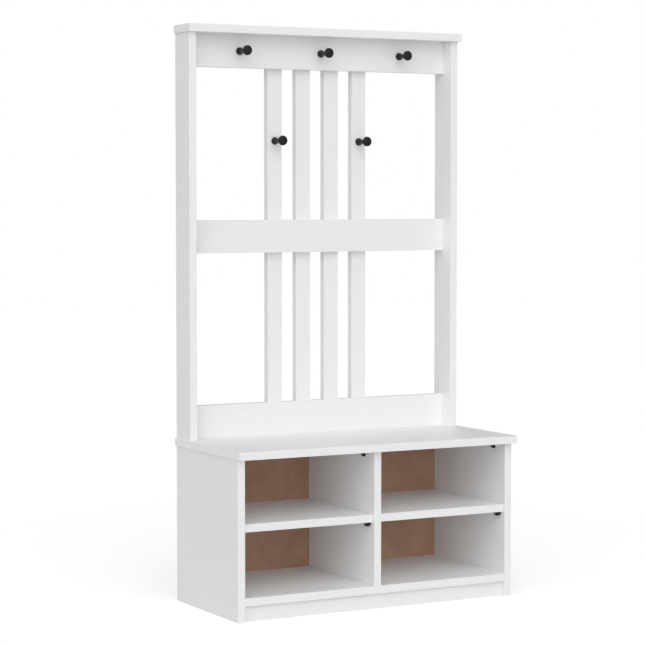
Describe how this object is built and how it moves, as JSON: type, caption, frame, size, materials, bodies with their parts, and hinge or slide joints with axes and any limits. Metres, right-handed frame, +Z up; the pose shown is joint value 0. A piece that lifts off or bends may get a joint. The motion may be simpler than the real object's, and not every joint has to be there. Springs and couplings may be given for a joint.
{
  "type": "hall tree with hooks",
  "caption": "White flat-pack hall tree: a shoe bench with open cubbies under a slatted coat frame with peg hooks.",
  "frame": {"origin": "on the floor, under the middle of the whole piece", "axes": "+Z up, +Y back towards the wall, +X to the right of a person facing the front"},
  "size_m": [0.882, 0.41, 1.62],
  "materials": {
    "melamine": "satin white melamine on particle board",
    "hardboard": "matt brown hardboard",
    "black_metal": "satin black powder coat",
    "black_plastic": "matt black moulded",
    "zinc": "bright zinc plate",
    "beech": "plain fluted dowel",
    "white_plastic": "matt white moulded"
  },
  "bodies": {
    "root": {"left_side_panel": "melamine", "right_side_panel": "melamine", "centre_divider": "melamine", "bottom_panel": "melamine", "front_plinth": "melamine", "rear_plinth": "melamine", "left_shelf": "melamine", "right_shelf": "melamine", "back_panel": "hardboard", "bench_top": "melamine", "left_post": "melamine", "right_post": "melamine", "bottom_rail": "melamine", "mid_rail": "melamine", "top_rail": "melamine", "slat_1": "melamine", "slat_2": "melamine", "slat_3": "melamine", "slat_4": "melamine", "cap_board": "melamine", "hook_1": "black_metal", "hook_2": "black_metal", "hook_3": "black_metal", "hook_4": "black_metal", "hook_5": "black_metal", "hook_screws": "zinc", "shelf_supports": "black_plastic", "shelf_support_screws": "zinc", "corner_brackets": "black_plastic", "corner_bracket_screws": "zinc", "cam_locks": "zinc", "cam_bolts": "zinc", "wood_dowels": "beech", "confirmat_screws": "zinc", "screw_caps": "white_plastic", "slat_screws": "zinc", "back_nails": "zinc", "tip_restraint_brackets": "zinc", "tip_restraint_screws": "zinc"}
  },
  "joints": []
}
